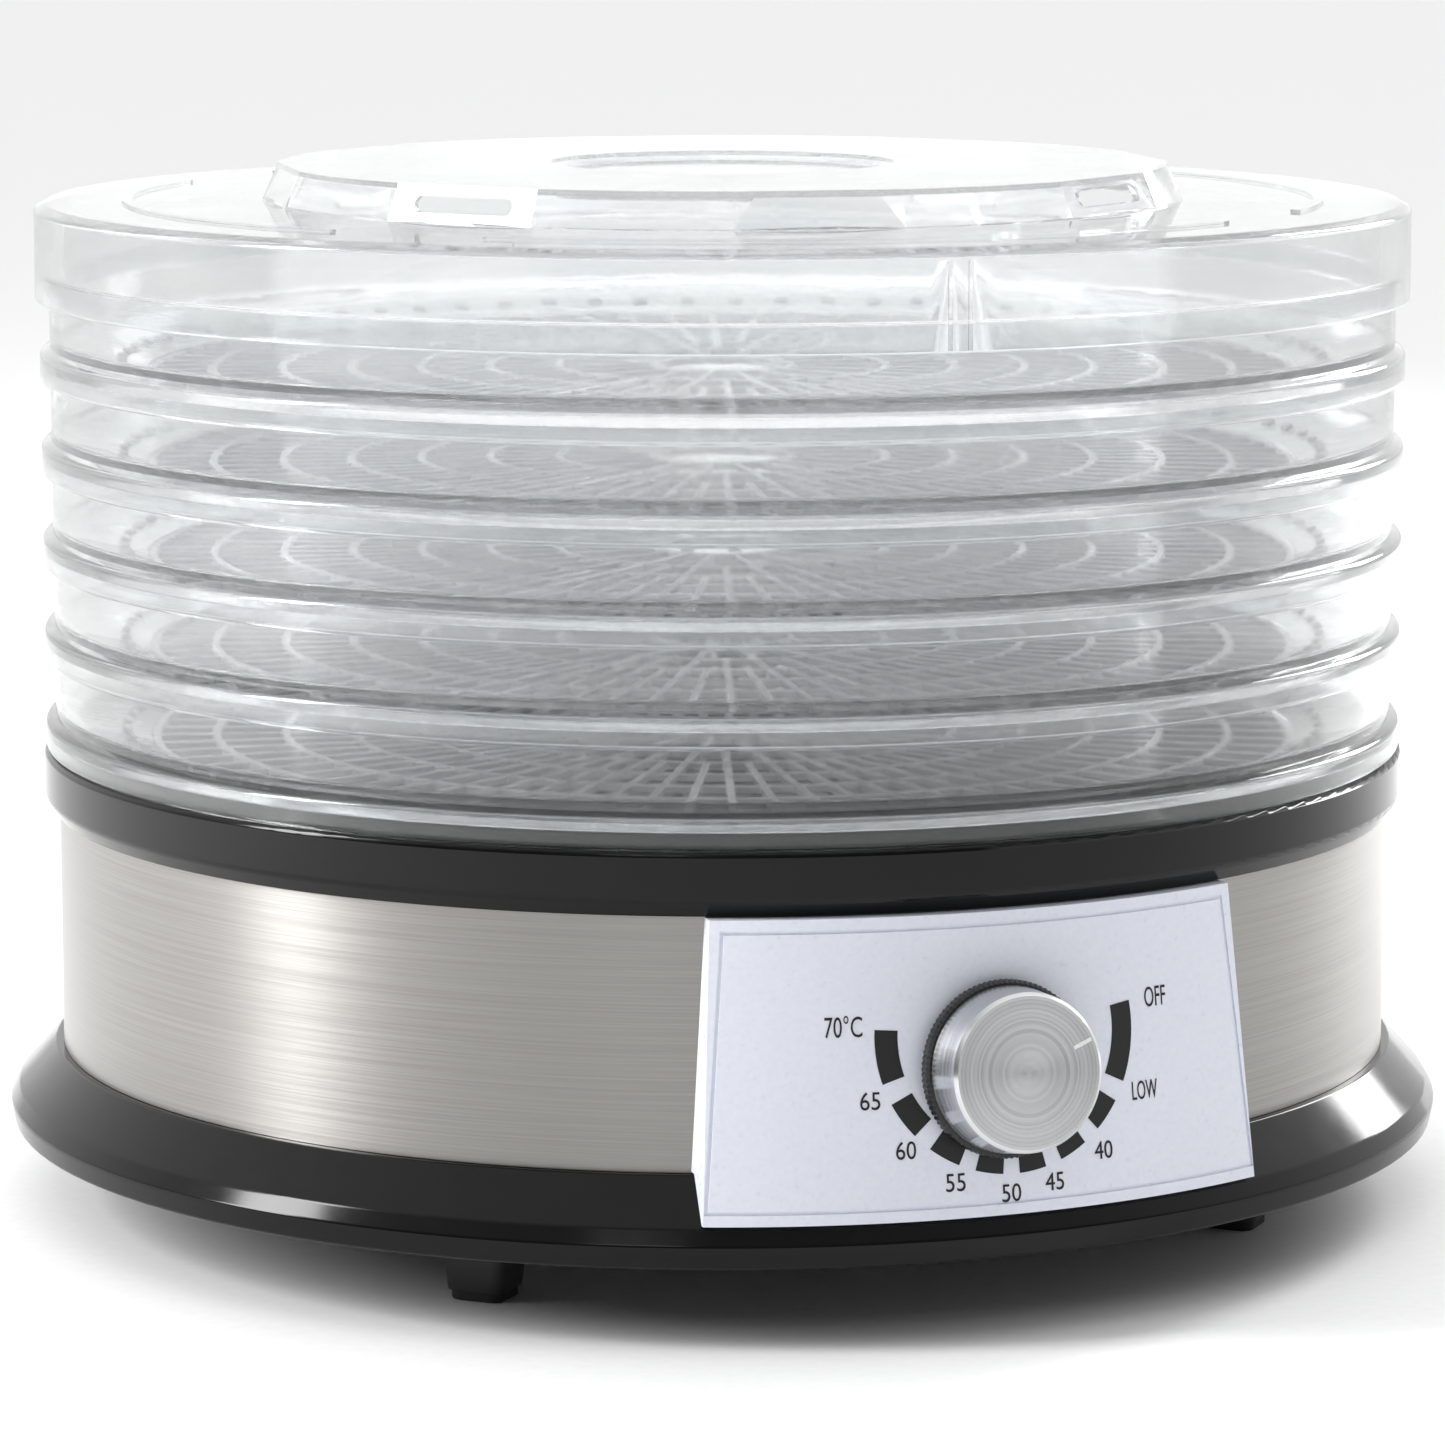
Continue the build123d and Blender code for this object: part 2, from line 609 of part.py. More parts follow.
def make_wiring():
    """Terminal block near the inlet and the leads that run from it."""
    block_y, block_h = 112.0, 13.0
    wire_r = 1.2
    with BuildPart() as block:
        with BuildSketch(Plane.XY.offset(COVER_TOP)):
            with Locations((0, block_y)):
                RectangleRounded(36.0, 16.0, 2.0)
        extrude(amount=block_h)
        with BuildSketch(Plane.XY.offset(COVER_TOP + block_h)):
            with Locations((-11.0, block_y), (0, block_y), (11.0, block_y)):
                Circle(2.2)
        extrude(amount=-4.0, mode=Mode.SUBTRACT)
    save(block.part, "terminal_block")
    face_y = block_y - 8.8
    lead_z = COVER_TOP + 5.0
    coil_back = COIL_Y + 12.0
    routes = {
        "motor_lead": [
            (-4, face_y, lead_z), (-4, 84, lead_z), (-8, 62, lead_z + 6),
            (-8, coil_back + 1.0, MOTOR_Z + 8.0),
        ],
        "heater_lead": [
            (11, face_y, lead_z), (14, 88, lead_z), (38, 66, lead_z + 12),
            (57, 34, DECK_Z - 36.0), (57, 6, DECK_Z - 30.0), (DUCT_R + 3.2, 0, DECK_Z - 21.2),
        ],
        "thermostat_lead": [
            (-12, face_y, lead_z), (-26, 82, lead_z), (-60, 50, lead_z + 2), (-76, 4, lead_z + 4),
            (-70, -44, lead_z + 8), (-48, -84, lead_z + 16), (-16, -104, KNOB_Z - 8.0),
            (-6, -124.0, KNOB_Z - 6.0),
        ],
    }
    for name, points in routes.items():
        corners = [Vector(*point) for point in points]
        radii = []
        for before, here, after in zip(corners, corners[1:], corners[2:]):
            run_in, run_out = here - before, after - here
            turn = radians(run_in.get_angle(run_out))
            radii.append(0.45 * min(run_in.length, run_out.length) / tan(turn / 2))
        with BuildPart() as lead:
            with BuildLine() as path:
                FilletPolyline(*corners, radius=radii)
            start = Plane(origin=path.wires()[0] @ 0, z_dir=path.wires()[0] % 0)
            with BuildSketch(start):
                Circle(wire_r)
            sweep(path=path.wires()[0])
        save(lead.part, name)


# ---- Trays and lid ------------------------------------------------------------------
def make_tray(name, low):
    """Clear tray's rim: wall with a socket bead at its foot and a sloped band inside."""
    wall_in = TRAY_WALL_R - TRAY_WALL
    socket_r = TRAY_WALL_R + SIDE_GAP
    ledge = low + NEST + STACK_GAP
    top = low + TRAY_PITCH + NEST
    floor = low + GRID_LIFT
    corners = [
        (socket_r, low),
        (BEAD_R, low),
        (BEAD_R, low + BEAD_H),
        (TRAY_WALL_R, low + BEAD_H + 1.4),
        (TRAY_WALL_R, top),
        (wall_in, top),
        (wall_in, ledge + 5.8),
        (GRID_R, floor + GRID_T),
        (GRID_R, floor),
        (GRID_R + 1.0, floor),
        (wall_in - 3.0, ledge + 2.2),
        (wall_in - 0.4, ledge),
        (socket_r, ledge),
    ]
    save(turned(corners, [0.3, 1.2, 1.6, 0, 0, 0, 1.0, 0, 0, 0, 0, 0, 0]), name)


def make_tray_grid(name, low):
    """Clear tray's open floor: rings and spokes round a finger hole."""
    with BuildPart() as floor:
        with BuildSketch(Plane.XY.offset(low + GRID_LIFT)):
            Circle(GRID_R)
            Circle(GRID_HOLE_R, mode=Mode.SUBTRACT)
            add(grid_cells(GRID_HOLE_R + 2.0, GRID_RINGS[0], GRID_SPOKES // 4), mode=Mode.SUBTRACT)
            add(grid_cells(GRID_RINGS[0], GRID_RINGS[1], GRID_SPOKES // 2), mode=Mode.SUBTRACT)
            for inner, outer in zip(GRID_RINGS[1:], GRID_RINGS[2:]):
                add(grid_cells(inner, outer, GRID_SPOKES), mode=Mode.SUBTRACT)
        extrude(amount=GRID_T)
    save(floor.part, name)


def grid_cells(inner, outer, count):
    """The openings of one ring of the grid, between spokes of equal width."""
    low, high = inner + RING_BAR / 2, outer - RING_BAR / 2
    step = 360.0 / count
    with BuildSketch() as cells:
        with PolarLocations(0, count, start_angle=step / 2):
            half_low = low * tan(radians(step / 2)) - SPOKE_W / 2
            half_high = high * tan(radians(step / 2)) - SPOKE_W / 2
            Polygon((low, -half_low), (high, -half_high), (high, half_high), (low, half_low), align=None)
    return cells.sketch


def dome_core(drop):
    """The dome as a solid, or the same dome drawn in by a wall, with flat facets cut."""
    low = LID_DECK_Z - LID_WALL - drop
    lean = degrees(atan2(DOME_FOOT_R - DOME_TOP_R, DOME_Z - LID_DECK_Z))
    facet_r = DOME_FOOT_R * cos(radians(FACET_HALF_ANGLE))
    with BuildPart() as core:
        with BuildSketch(Plane.XZ):
            Polygon(
                (0, low),
                (DOME_FOOT_R - drop, low),
                (DOME_FOOT_R - drop, LID_DECK_Z),
                (DOME_TOP_R - drop, DOME_Z - drop),
                (DOME_RECESS_R + 1.2, DOME_Z - drop),
                (DOME_RECESS_R - 1.2, DOME_Z - 1.6 - drop),
                (0, DOME_Z - 1.6 - drop),
                align=None,
            )
        revolve(axis=Axis.Z)
        for index in range(FACET_COUNT):
            side = Plane.XY.rotated((0, 0, -90 + LID_TURN + 360.0 / FACET_COUNT * index))
            facet = Plane(
                origin=side.from_local_coords((facet_r - drop, 0, LID_DECK_Z)),
                x_dir=side.y_dir,
                z_dir=side.x_dir * cos(radians(lean)) + Vector(0, 0, sin(radians(lean))),
            )
            with BuildSketch(facet):
                with Locations((0, 20.0)):
                    Rectangle(60.0, 40.0)
            extrude(amount=12.0, mode=Mode.SUBTRACT)
    return core.part


def make_lid():
    """Clear lid: deep skirt, flat shoulder, and a low dome with facets and vents."""
    skirt_in = LID_SKIRT_R - LID_WALL
    rest_z = SEAT_Z + TRAY_COUNT * TRAY_PITCH + NEST + STACK_GAP
    vent_w, vent_h = 26.0, 3.6
    arc_r, arc_w, arc_h = 137.0, 2.4, 0.6
    gap_turn, gap_w = -41.0, 38.0
    rib_turns, rib_w = (5.6, 7.2), 0.9
    shell = [
        (skirt_in, LID_BOTTOM), (LID_SKIRT_R, LID_BOTTOM), (LID_SKIRT_R, LID_RIM_Z),
        (LID_SKIRT_R - 2.6, LID_DECK_Z), (DOME_FOOT_R - 2.4, LID_DECK_Z),
        (DOME_FOOT_R - 2.4, LID_DECK_Z - LID_WALL), (TRAY_WALL_R - 3.4, LID_DECK_Z - LID_WALL),
        (TRAY_WALL_R - 3.4, rest_z), (skirt_in, rest_z),
    ]
    radii = [0.3, 0.5, 1.4, 1.2, 0, 0, 1.0, 0.3, 0.3]
    with BuildPart() as lid:
        add(turned(shell, radii))
        add(dome_core(0.0))
        add(dome_core(LID_WALL), mode=Mode.SUBTRACT)
        for index in range(4):
            side = Plane.XY.rotated((0, 0, -90 + LID_TURN + 45 + 90 * index))
            vent = Plane(
                origin=side.from_local_coords((DOME_TOP_R - 12, 0, LID_DECK_Z + 4.0)),
                x_dir=side.y_dir,
                z_dir=side.x_dir,
            )
            with BuildSketch(vent):
                RectangleRounded(vent_w, vent_h, 1.6)
            extrude(amount=20.0, mode=Mode.SUBTRACT)
        with BuildSketch(Plane.XY.offset(LID_DECK_Z)):
            Circle(arc_r + arc_w / 2)
            Circle(arc_r - arc_w / 2, mode=Mode.SUBTRACT)
            with PolarLocations(arc_r, 4, start_angle=-90 + LID_TURN + gap_turn):
                Rectangle(arc_w * 4, gap_w, mode=Mode.SUBTRACT)
        extrude(amount=arc_h)
        for turn in rib_turns:
            with BuildSketch(Plane.XY.offset(LID_BOTTOM + 0.6)):
                with PolarLocations(LID_SKIRT_R, 1, start_angle=-90 + LID_TURN + turn):
                    Rectangle(rib_w, rib_w)
            extrude(amount=LID_RIM_Z - LID_BOTTOM - 2.0)
    save(lid.part, "lid")


def make_all():
    """Build and write every piece."""
    make_base_skirt()
    make_bottom_cover()
    make_feet()
    make_steel_band()
    make_inlet_grommet()
    make_upper_ring()
    make_air_deck()
    make_outlet_grille()
    make_control_panel()
    make_knob()
    make_thermostat()
    make_motor()
    make_fan()
    make_heater()
    make_wiring()
    for number in range(1, TRAY_COUNT + 1):
        make_tray(f"tray_{number}", SEAT_Z + TRAY_PITCH * (number - 1))
        make_tray_grid(f"tray_{number}_grid", SEAT_Z + TRAY_PITCH * (number - 1))
    make_lid()


make_all()
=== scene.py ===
import json
import math

import bpy
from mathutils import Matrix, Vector


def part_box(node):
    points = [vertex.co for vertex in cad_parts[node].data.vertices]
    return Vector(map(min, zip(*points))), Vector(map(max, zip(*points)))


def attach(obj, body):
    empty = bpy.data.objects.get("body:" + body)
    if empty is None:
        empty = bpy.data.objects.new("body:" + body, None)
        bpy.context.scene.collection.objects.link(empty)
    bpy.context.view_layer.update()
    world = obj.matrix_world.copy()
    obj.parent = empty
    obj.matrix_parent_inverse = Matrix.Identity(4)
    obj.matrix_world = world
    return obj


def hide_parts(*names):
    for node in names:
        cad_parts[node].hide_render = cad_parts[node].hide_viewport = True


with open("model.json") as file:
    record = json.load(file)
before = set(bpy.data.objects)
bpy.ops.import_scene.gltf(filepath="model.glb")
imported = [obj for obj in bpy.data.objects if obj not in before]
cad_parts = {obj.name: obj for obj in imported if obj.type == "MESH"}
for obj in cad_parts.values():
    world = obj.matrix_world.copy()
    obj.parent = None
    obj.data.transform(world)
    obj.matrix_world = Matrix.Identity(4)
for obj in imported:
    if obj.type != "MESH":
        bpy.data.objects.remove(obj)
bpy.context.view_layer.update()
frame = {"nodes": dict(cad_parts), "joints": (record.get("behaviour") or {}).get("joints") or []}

MM = 0.001
ring_low, ring_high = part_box("upper_ring")
AXIS = Vector(((ring_low.x + ring_high.x) / 2, (ring_low.y + ring_high.y) / 2, 0.0))
TRAY_COUNT = 5
knob_turn = next(j for j in frame["joints"] if j["name"] == "knob_turn")
KNOB_SEAT = Vector(knob_turn["pos_m"])
KNOB_OUT = -Vector(knob_turn["axis"]).normalized()


# ---- Camera --------------------------------------------------------------------------
CAMERA_TURN = math.radians(21.2)
CAMERA_TILT = math.radians(8.99)
CAMERA_REACH = 1.3852
CAMERA_HEIGHT = 0.327

camera_data = bpy.data.cameras.new("studio_camera")
camera_data.lens = 149.2
camera_data.sensor_width = 36.0
camera = bpy.data.objects.new("studio_camera", camera_data)
camera.location = (
    AXIS.x - CAMERA_REACH * math.sin(CAMERA_TURN),
    AXIS.y - CAMERA_REACH * math.cos(CAMERA_TURN),
    CAMERA_HEIGHT,
)
camera.rotation_euler = (math.pi / 2 - CAMERA_TILT, 0.0, -CAMERA_TURN)
bpy.context.scene.collection.objects.link(camera)
bpy.context.scene.camera = camera


# ---- Materials -----------------------------------------------------------------------
def linear(hex_colour):
    """An sRGB hex colour as linear RGBA."""
    parts = [int(hex_colour[i:i + 2], 16) / 255 for i in (1, 3, 5)]
    return [c / 12.92 if c <= 0.04045 else ((c + 0.055) / 1.055) ** 2.4 for c in parts] + [1.0]


def add_node(tree, kind, inputs=None, **settings):
    """Adds one node. Inputs are values, or sockets to link from."""
    node = tree.nodes.new(kind)
    for name, value in settings.items():
        setattr(node, name, value)
    for name, value in (inputs or {}).items():
        if isinstance(value, bpy.types.NodeSocket):
            tree.links.new(value, node.inputs[name])
        else:
            node.inputs[name].default_value = value
    return node


def finish_of(name, light, dark, grain_mm, relief_mm, roughness, rough_spread=0.05,
              worked_about=None, ring_mm=None, **shader):
    """A finish with two tones and a slight relief over a grain of real size.

    worked_about is the centre and axle that a brushed or turned metal was worked round,
    and ring_mm the width of a lathe tool's rings.
    """
    material = bpy.data.materials.new(name)
    material.use_nodes = True
    tree = material.node_tree
    tree.nodes.clear()
    place = add_node(tree, "ShaderNodeTexCoord")
    spread = [1.0 / (size * MM) for size in grain_mm]
    scaled = add_node(tree, "ShaderNodeMapping", {"Vector": place.outputs["Object"], "Scale": spread})
    if ring_mm:
        arm = add_node(tree, "ShaderNodeVectorMath", {0: place.outputs["Object"], 1: worked_about[0]},
                       operation="DISTANCE")
        grain = add_node(tree, "ShaderNodeTexNoise", {"W": arm.outputs["Value"], "Scale": 1 / (ring_mm * MM)},
                         noise_dimensions="1D")
    else:
        spots = {"Vector": scaled.outputs["Vector"], "Scale": 1.0, "Detail": 3.0}
        grain = add_node(tree, "ShaderNodeTexNoise", spots)
    tone = add_node(tree, "ShaderNodeValToRGB", {"Fac": grain.outputs["Fac"]})
    tone.color_ramp.elements[0].position = 0.3
    tone.color_ramp.elements[0].color = linear(dark)
    tone.color_ramp.elements[1].position = 0.7
    tone.color_ramp.elements[1].color = linear(light)
    rough = add_node(tree, "ShaderNodeMapRange", {
        "Value": grain.outputs["Fac"],
        "From Min": 0.3,
        "From Max": 0.7,
        "To Min": roughness - rough_spread,
        "To Max": roughness + rough_spread,
    })
    relief = add_node(tree, "ShaderNodeBump", {
        "Height": grain.outputs["Fac"], "Distance": relief_mm * MM, "Strength": 1.0,
    })
    inputs = {
        "Base Color": tone.outputs["Color"],
        "Roughness": rough.outputs["Result"],
        "Normal": relief.outputs["Normal"],
    }
    if worked_about:
        centre, axle = worked_about
        arm = add_node(tree, "ShaderNodeVectorMath", {0: place.outputs["Object"], 1: centre},
                       operation="SUBTRACT")
        lay = add_node(tree, "ShaderNodeVectorMath", {0: axle, 1: arm.outputs["Vector"]},
                       operation="CROSS_PRODUCT")
        inputs["Tangent"] = lay.outputs["Vector"]
    inputs.update(shader)
    body = add_node(tree, "ShaderNodeBsdfPrincipled", inputs)
    add_node(tree, "ShaderNodeOutputMaterial", {"Surface": body.outputs["BSDF"]})
    return material


# A brushed or turned metal blurs light across its grain, a quarter turn from the way it was worked.
ACROSS_GRAIN = {"Anisotropic Rotation": 0.25}
FINISHES = {
    # Polished moulded polystyrene: near colourless, its broad flow waves give wavering highlights.
    # It lets a seventh of the light straight through, so that stacked walls stay pale.
    "clear_plastic": finish_of("clear_polystyrene", "#FCFDFD", "#F6F8F9", (30, 30, 14), 0.05, 0.05, 0.02,
                               Alpha=0.86, **{"Transmission Weight": 1.0, "IOR": 1.5}),
    # High-gloss moulded ABS: deep black, with soft-edged lights.
    "black_abs": finish_of("gloss_black_abs", "#08080A", "#050506", (9, 9, 9), 0.01, 0.13, 0.02, IOR=1.54,
                           **{"Specular IOR Level": 0.22}),
    # Spark-eroded ABS: a fine dull grain that spreads the light.
    "black_abs_matt": finish_of("textured_black_abs", "#1B1B1C", "#121213", (0.8, 0.8, 0.8), 0.05, 0.5,
                                IOR=1.54),
    # Satin moulded ABS, slightly blue.
    "white_abs": finish_of("satin_white_abs", "#ECEFFA", "#E7EAF6", (1.2, 1.2, 1.2), 0.008, 0.32, IOR=1.54),
    # Cold-rolled stainless, brushed round the band: grain lines run level, and light stands in upright bars.
    # Real grain is 0.05 mm; it is drawn 0.35 mm high so that it shows.
    "brushed_stainless": finish_of("brushed_stainless_steel", "#A4A29F", "#959390", (60, 60, 0.35), 0.002,
                                   0.34, 0.03, (AXIS, (0, 0, 1)),
                                   Metallic=1.0, Anisotropic=0.85, **ACROSS_GRAIN),
    # Knurled moulded nylon of the knob's flange: fine and nearly dull.
    "black_knob": finish_of("black_nylon", "#161617", "#0C0C0D", (1.5, 1.5, 1.5), 0.02, 0.35, IOR=1.53),
    # Lathe-turned anodised aluminium: rings spread light into wedges.
    "spun_aluminium": finish_of("spun_aluminium", "#E4E5E6", "#D3D4D6", (2, 2, 2), 0.002, 0.24, 0.03,
                                (KNOB_SEAT, KNOB_OUT), ring_mm=0.5,
                                Metallic=1.0, Anisotropic=0.8, **ACROSS_GRAIN),
    # Bright zinc plate: small dull spangles.
    "zinc_steel": finish_of("zinc_plated_steel", "#C4C7CA", "#A5A8AC", (5, 5, 5), 0.01, 0.35, Metallic=1.0),
    # Stacked silicon-steel sheets of 0.5 mm: level dark lines.
    "lamination_steel": finish_of("stacked_laminations", "#8A8A8E", "#4C4C50", (80, 80, 0.5), 0.05, 0.5,
                                  Metallic=1.0),
    # Enamelled copper wire of 0.3 mm, wound side by side: a close glossy rib.
    "copper_coil": finish_of("enamelled_copper", "#C8713A", "#8A4520", (0.4, 60, 60), 0.1, 0.3, Metallic=1.0),
    # Free-turned brass.
    "brass_parts": finish_of("turned_brass", "#D9B561", "#B08F42", (3, 3, 0.5), 0.005, 0.28, Metallic=1.0),
    # Pressed mica flakes: mottled, with a soft lustre.
    "mica_board": finish_of("pressed_mica", "#B9A588", "#8A7759", (6, 6, 1), 0.05, 0.42, IOR=1.58),
    # Nickel-chrome wire, oxidised by heat.
    "nichrome_wire": finish_of("oxidised_nichrome", "#7B726C", "#4B4340", (4, 4, 4), 0.02, 0.45,
                               Metallic=1.0),
    # Unglazed steatite: chalky.
    "ceramic_white": finish_of("unglazed_steatite", "#E9E6DC", "#D8D4C8", (1, 1, 1), 0.03, 0.7, IOR=1.6),
    # Compression-moulded phenolic, with fibre flecks.
    "grey_phenolic": finish_of("moulded_phenolic", "#4A4540", "#332E2A", (1.5, 1.5, 1.5), 0.03, 0.5, IOR=1.6),
    # Silicone lead sleeve: soft and dull.
    "silicone_lead": finish_of("silicone_sleeve", "#C4231C", "#A81B16", (3, 3, 3), 0.03, 0.5, IOR=1.43),
    # Moulded rubber pads.
    "black_rubber": finish_of("moulded_rubber", "#1E1E1E", "#131313", (0.9, 0.9, 0.9), 0.05, 0.75, IOR=1.52),
}
# The trays' thin bars, whose many moulded edges catch the light and look silvery.
CLEAR_GRID = finish_of("clear_polystyrene_bars", "#FFFFFF", "#F0F2F5", (4, 4, 4), 0.05, 0.12, 0.04,
                       Alpha=0.62, IOR=1.59)
# Pad-printed ink of the dial: flat black, a little uneven.
DIAL_INK = finish_of("pad_printed_ink", "#131315", "#0B0B0C", (0.6, 0.6, 0.6), 0.004, 0.55, IOR=1.5)
# Paint fill of the knob's pointer.
POINTER_PAINT = finish_of("pointer_paint", "#FBFBFB", "#EDEDED", (0.6, 0.6, 0.6), 0.004, 0.5, IOR=1.5)

for node in frame["nodes"].values():
    slot = node.data.materials[0].name.split(".")[0]
    node.data.materials[0] = FINISHES[slot]


# ---- Mesh making ---------------------------------------------------------------------
def new_piece(name, points, faces, finish, body):
    """A mesh piece that rides on a body. Points are in metres about the stack's axis."""
    mesh = bpy.data.meshes.new(name)
    mesh.from_pydata([Vector(p) + AXIS for p in points], [], faces)
    mesh.validate()
    mesh.materials.append(finish)
    piece = bpy.data.objects.new(name, mesh)
    bpy.context.scene.collection.objects.link(piece)
    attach(piece, body)
    return piece


def soften(piece, width_mm, segments=2):
    """Rounds a piece's sharp edges by a moulding radius."""
    rounding = piece.modifiers.new("moulding_radius", "BEVEL")
    rounding.width = width_mm * MM
    rounding.segments = segments
    rounding.limit_method = "ANGLE"
    rounding.angle_limit = math.radians(40)


# The six faces of a block whose corners run round its underside, then round its top.
BLOCK_FACES = ((3, 2, 1, 0), (4, 5, 6, 7), (0, 1, 5, 4), (1, 2, 6, 5), (2, 3, 7, 6), (3, 0, 4, 7))


# ---- Tray grids ----------------------------------------------------------------------
GRID_RINGS = (16.0, 38.0, 54.0, 70.0, 86.0, 102.0, 118.0, 132.0)
GRID_BARS = 72
BAR_WIDTH = 1.9
RING_HALF = 1.0
TEETH_R = 138.6
TEETH_LIFT = 3.9          # above the grid's underside, on top of the sloped band
TOOTH_HEIGHT = 1.1
BAND_SLOPE = 0.36


def grid_filled(band, sector):
    """Whether a cell of the grid's lattice is plastic: a ring, or a bar. Bars thin out inwards."""
    if band % 2 == 0:
        return True
    if sector % 2 == 1:
        return False
    every = {1: 4, 3: 2}.get(band, 1)
    return (sector // 2) % every == 0


def make_grid(number):
    """One tray's open floor: rings and radial bars, with a row of teeth on the band round it."""
    low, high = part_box(f"tray_{number}_grid")
    radii = [r + side for r in GRID_RINGS for side in (-RING_HALF, RING_HALF)]
    pitch = 2 * math.pi / GRID_BARS
    sectors = 2 * GRID_BARS
    points = []
    for z in (low.z, high.z):
        for radius in radii:
            half = min(math.asin(BAR_WIDTH / 2 / radius), pitch * 0.35)
            for bar in range(GRID_BARS):
                for side in (-half, half):
                    angle = bar * pitch + side
                    points.append((radius * MM * math.cos(angle), radius * MM * math.sin(angle), z))
    layer = len(radii) * sectors

    def at(level, band, sector):
        return level * layer + band * sectors + sector % sectors

    bands = len(radii) - 1
    faces = []
    for band in range(bands):
        for sector in range(sectors):
            if not grid_filled(band, sector):
                continue
            a, b, c, d = (band, sector), (band + 1, sector), (band + 1, sector + 1), (band, sector + 1)
            faces.append([at(1, *p) for p in (a, b, c, d)])
            faces.append([at(0, *p) for p in (d, c, b, a)])
            beside = (
                (band, sector - 1, a, b),
                (band + 1, sector, b, c),
                (band, sector + 1, c, d),
                (band - 1, sector, d, a),
            )
            for near_band, near_sector, p, q in beside:
                open_edge = near_band < 0 or near_band >= bands
                if open_edge or not grid_filled(near_band, near_sector % sectors):
                    faces.append([at(1, *q), at(1, *p), at(0, *p), at(0, *q)])
    tooth_low = low.z + TEETH_LIFT * MM
    for tooth in range(GRID_BARS):
        angle = (tooth + 0.5) * pitch
        start = len(points)
        for z in (tooth_low, tooth_low + TOOTH_HEIGHT * MM):
            for radial, across in ((-1.0, -1.9), (1.0, -1.9), (1.0, 1.9), (-1.0, 1.9)):
                r = (TEETH_R + radial) * MM
                turn = angle + across / TEETH_R
                lift = BAND_SLOPE * radial * MM
                points.append((r * math.cos(turn), r * math.sin(turn), z + lift))
        for face in BLOCK_FACES:
            faces.append([start + corner for corner in face])
    grid = new_piece(f"tray_{number}_fine_grid", points, faces, CLEAR_GRID, f"tray_{number}")
    soften(grid, 0.3, 1)
    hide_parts(f"tray_{number}_grid")


for number in range(1, TRAY_COUNT + 1):
    make_grid(number)


# ---- Knob ----------------------------------------------------------------------------
KNOB_RIGHT = Vector((1, 0, 0))
KNOB_UP = KNOB_OUT.cross(KNOB_RIGHT).normalized()


def on_knob(across, up, out):
    """A point near the knob, in millimetres from the middle of its seat on the panel."""
    return KNOB_SEAT - AXIS + (KNOB_RIGHT * across + KNOB_UP * up + KNOB_OUT * out) * MM


def make_flange():
    """Black flange and core of the knob, with fine knurling round its edge."""
    knurls = 96
    steps = knurls * 4
    # (radius, height above the panel), in millimetres, from the spindle's bore round the flange and core.
    section = [
        (3.02, 0.6), (18.3, 0.6), (18.9, 1.1), (18.9, 3.4),
        (18.3, 3.9), (15.4, 3.9), (15.4, 12.6), (3.02, 12.6),
    ]
    points = []
    for step in range(steps):
        angle = 2 * math.pi * step / steps
        cut = 0.28 * (0.5 - 0.5 * math.cos(angle * knurls))
        for radius, out in section:
            r = radius - cut if radius > 18.0 else radius
            points.append(on_knob(r * math.cos(angle), r * math.sin(angle), out))
    count = len(section)
    faces = []
    for step in range(steps):
        after = (step + 1) % steps
        for i in range(count):
            j = (i + 1) % count
            faces.append([step * count + i, after * count + i, after * count + j, step * count + j])
    flange = new_piece("knurled_flange", points, faces, FINISHES["black_knob"], "knob")
    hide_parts("knob_skirt")


def make_pointer():
    """Painted line near the cap's edge."""
    turn = math.radians(23)
    inner, outer, half, low, high = 11.4, 15.7, 0.42, 14.1, 14.26
    points = []
    for out in (low, high):
        for along, side in ((inner, -half), (outer, -half), (outer, half), (inner, half)):
            across = along * math.cos(turn) - side * math.sin(turn)
            up = along * math.sin(turn) + side * math.cos(turn)
            points.append(on_knob(across, up, out))
    pointer = new_piece("pointer_line", points, BLOCK_FACES, POINTER_PAINT, "knob")
    soften(pointer, 0.05)


make_flange()
make_pointer()


# ---- Printed dial --------------------------------------------------------------------
PANEL_MID_Z = 59.25
PANEL_MID_R = 162.5
PANEL_LEAN = math.radians(7)
PRINT_GAP = 0.03
PRINT_THICK = 0.07
SCALE_CENTRE = (2.0, 6.5)
SCALE_R = (25.0, 30.0)
SCALE_ARCS = (
    (176, 198.4), (207.3, 223.3), (231.6, 245.5), (252.8, 264.8),
    (272, 283.8), (291.1, 303.7), (311.6, 325.6), (334.2, 367.7),
)
# Text, middle across and up, width and height.
DIAL_LABELS = (
    ("70°C", -34.6, 9.5, 8.1, 4.6),
    ("65", -29.2, -6.3, 4.3, 3.8),
    ("60", -21.8, -17.0, 4.3, 3.8),
    ("55", -11.3, -24.4, 4.3, 3.8),
    ("50", 1.0, -27.5, 4.3, 3.8),
    ("45", 11.0, -26.0, 4.3, 3.8),
    ("40", 23.1, -20.6, 4.4, 3.8),
    ("LOW", 34.5, -9.0, 6.6, 4.0),
    ("OFF", 38.8, 10.6, 5.7, 4.3),
)


def on_panel(across, up, out):
    """A point on the panel's curved face, in millimetres from its middle, raised by out."""
    z = PANEL_MID_Z + up * math.cos(PANEL_LEAN)
    radius = PANEL_MID_R - up * math.sin(PANEL_LEAN) + out
    turn = across / PANEL_MID_R
    return (radius * MM * math.sin(turn), -radius * MM * math.cos(turn), z * MM)


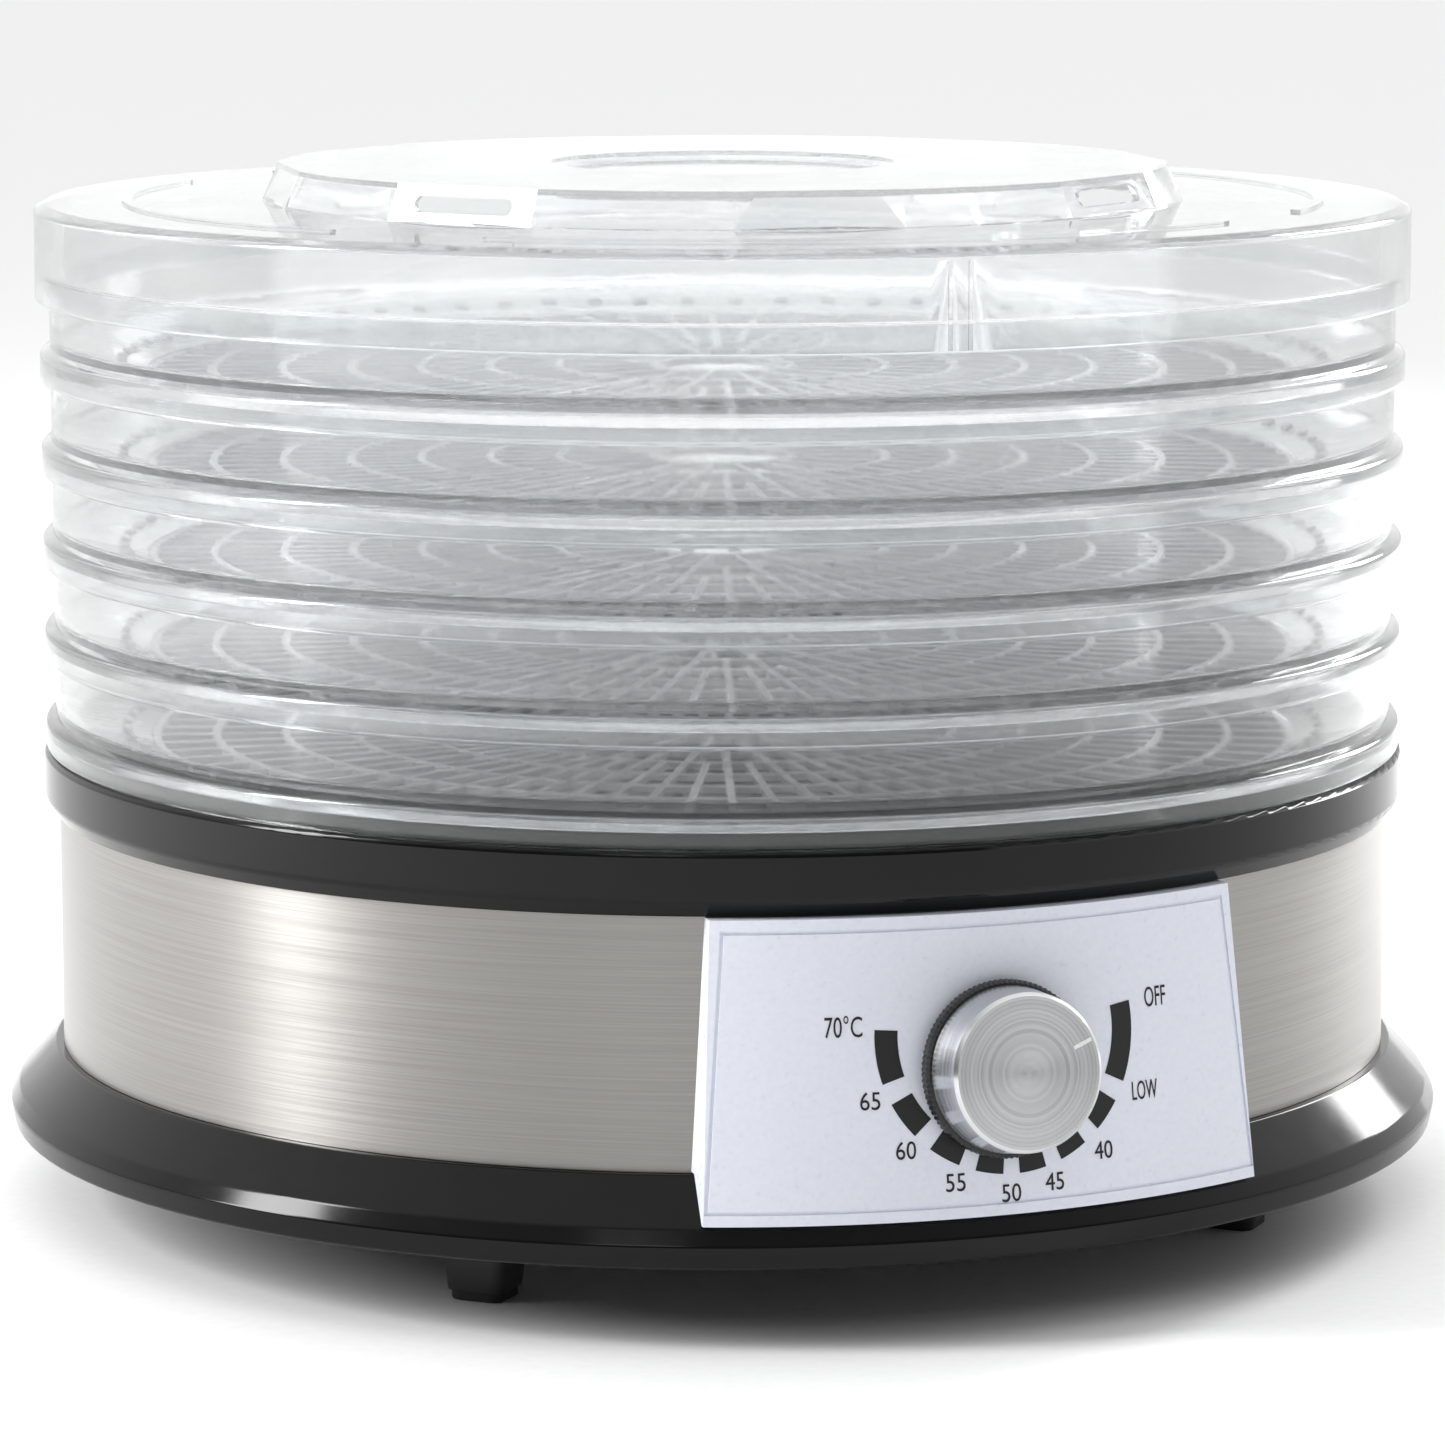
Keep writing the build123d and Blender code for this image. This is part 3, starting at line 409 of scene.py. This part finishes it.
def print_shape(name, outline_faces, flat_points):
    """A thin layer of ink on the panel from a flat mesh."""
    count = len(flat_points)
    points = [on_panel(x, y, PRINT_GAP) for x, y in flat_points]
    points += [on_panel(x, y, PRINT_GAP + PRINT_THICK) for x, y in flat_points]
    used = {}
    for face in outline_faces:
        for i, a in enumerate(face):
            used[(a, face[(i + 1) % len(face)])] = True
    faces = [[count + i for i in face] for face in outline_faces]
    faces += [list(reversed(face)) for face in outline_faces]
    faces += [[a, b, count + b, count + a] for a, b in used if (b, a) not in used]
    new_piece(name, points, faces, DIAL_INK, "base")


def make_arcs():
    """The thick marks of the scale, one for each setting."""
    for index, (start, stop) in enumerate(SCALE_ARCS):
        steps = max(4, round((stop - start) / 1.5))
        flat = []
        for step in range(steps + 1):
            angle = math.radians(start + (stop - start) * step / steps)
            for radius in SCALE_R:
                across = SCALE_CENTRE[0] + radius * math.cos(angle)
                up = SCALE_CENTRE[1] + radius * math.sin(angle)
                flat.append((across, up))
        faces = [[2 * i, 2 * i + 1, 2 * i + 3, 2 * i + 2] for i in range(steps)]
        print_shape(f"scale_mark_{index + 1}", faces, flat)


def make_labels():
    """The numbers and words round the scale, in a narrow plain face."""
    for index, (text, across, up, width, height) in enumerate(DIAL_LABELS):
        curve = bpy.data.curves.new(f"label_{index}", "FONT")
        curve.body = text
        curve.resolution_u = 4
        letters = bpy.data.objects.new(f"label_{index}", curve)
        bpy.context.scene.collection.objects.link(letters)
        bpy.context.view_layer.update()
        mesh = bpy.data.meshes.new_from_object(letters)
        bpy.data.objects.remove(letters)
        xs = [v.co.x for v in mesh.vertices]
        ys = [v.co.y for v in mesh.vertices]
        flat = []
        for v in mesh.vertices:
            x = (v.co.x - (min(xs) + max(xs)) / 2) / (max(xs) - min(xs)) * width
            y = (v.co.y - (min(ys) + max(ys)) / 2) / (max(ys) - min(ys)) * height
            flat.append((across + x, up + y))
        faces = [list(p.vertices) for p in mesh.polygons]
        print_shape(f"dial_label_{index + 1}", faces, flat)


make_arcs()
make_labels()


# ---- Studio --------------------------------------------------------------------------
def make_floor():
    """A plain pale floor, wide enough to fill the view."""
    reach = 14.0
    mesh = bpy.data.meshes.new("studio_floor")
    corners = [(-reach, -reach, 0), (reach, -reach, 0), (reach, reach, 0), (-reach, reach, 0)]
    mesh.from_pydata(corners, [], [(0, 1, 2, 3)])
    paper = finish_of("matt_studio_paper", "#FBFBFB", "#F7F7F7", (3, 3, 3), 0.02, 0.9, IOR=1.45)
    mesh.materials.append(paper)
    floor = bpy.data.objects.new("studio_floor", mesh)
    bpy.context.scene.collection.objects.link(floor)


def make_softbox(name, turn, reach, height, size, power):
    """A soft rectangular light that faces the object, at an angle round it from the front."""
    light = bpy.data.lights.new(name, "AREA")
    light.shape = "RECTANGLE"
    light.size, light.size_y = size
    light.energy = power
    lamp = bpy.data.objects.new(name, light)
    angle = math.radians(turn)
    lamp.location = AXIS + Vector((reach * math.sin(angle), -reach * math.cos(angle), height))
    aim = AXIS + Vector((0, 0, 0.12)) - lamp.location
    lamp.rotation_euler = aim.to_track_quat("-Z", "Y").to_euler()
    bpy.context.scene.collection.objects.link(lamp)


def make_world():
    """Even studio surround: bright behind the object, dimmer where the camera stands."""
    world = bpy.data.worlds.new("studio")
    world.use_nodes = True
    tree = world.node_tree
    tree.nodes.clear()
    place = add_node(tree, "ShaderNodeTexCoord")
    away = (math.sin(CAMERA_TURN), math.cos(CAMERA_TURN), 0.8)
    facing = add_node(tree, "ShaderNodeVectorMath", {0: place.outputs["Generated"], 1: away},
                      operation="DOT_PRODUCT")
    level = add_node(tree, "ShaderNodeMapRange", {
        "Value": facing.outputs["Value"],
        "From Min": -0.3,
        "From Max": 0.7,
        "To Min": 0.2,
        "To Max": 1.2,
    })
    glow = add_node(tree, "ShaderNodeBackground", {
        "Color": linear("#FFFFFF"), "Strength": level.outputs["Result"],
    })
    add_node(tree, "ShaderNodeOutputWorld", {"Surface": glow.outputs["Background"]})
    bpy.context.scene.world = world


make_floor()
make_softbox("softbox_left", -97, 1.4, 0.75, (0.36, 0.8), 22)
make_softbox("softbox_right", 115, 1.4, 0.75, (0.4, 0.8), 14)
make_softbox("softbox_front", -35, 2.2, 1.5, (0.6, 0.6), 3)
make_world()
bpy.context.scene.view_settings.view_transform = "Standard"
# Light crosses up to ten clear walls, two faces each, on its way through the stack.
bpy.context.scene.cycles.max_bounces = 20
bpy.context.scene.cycles.transmission_bounces = 20
bpy.context.scene.cycles.transparent_max_bounces = 24
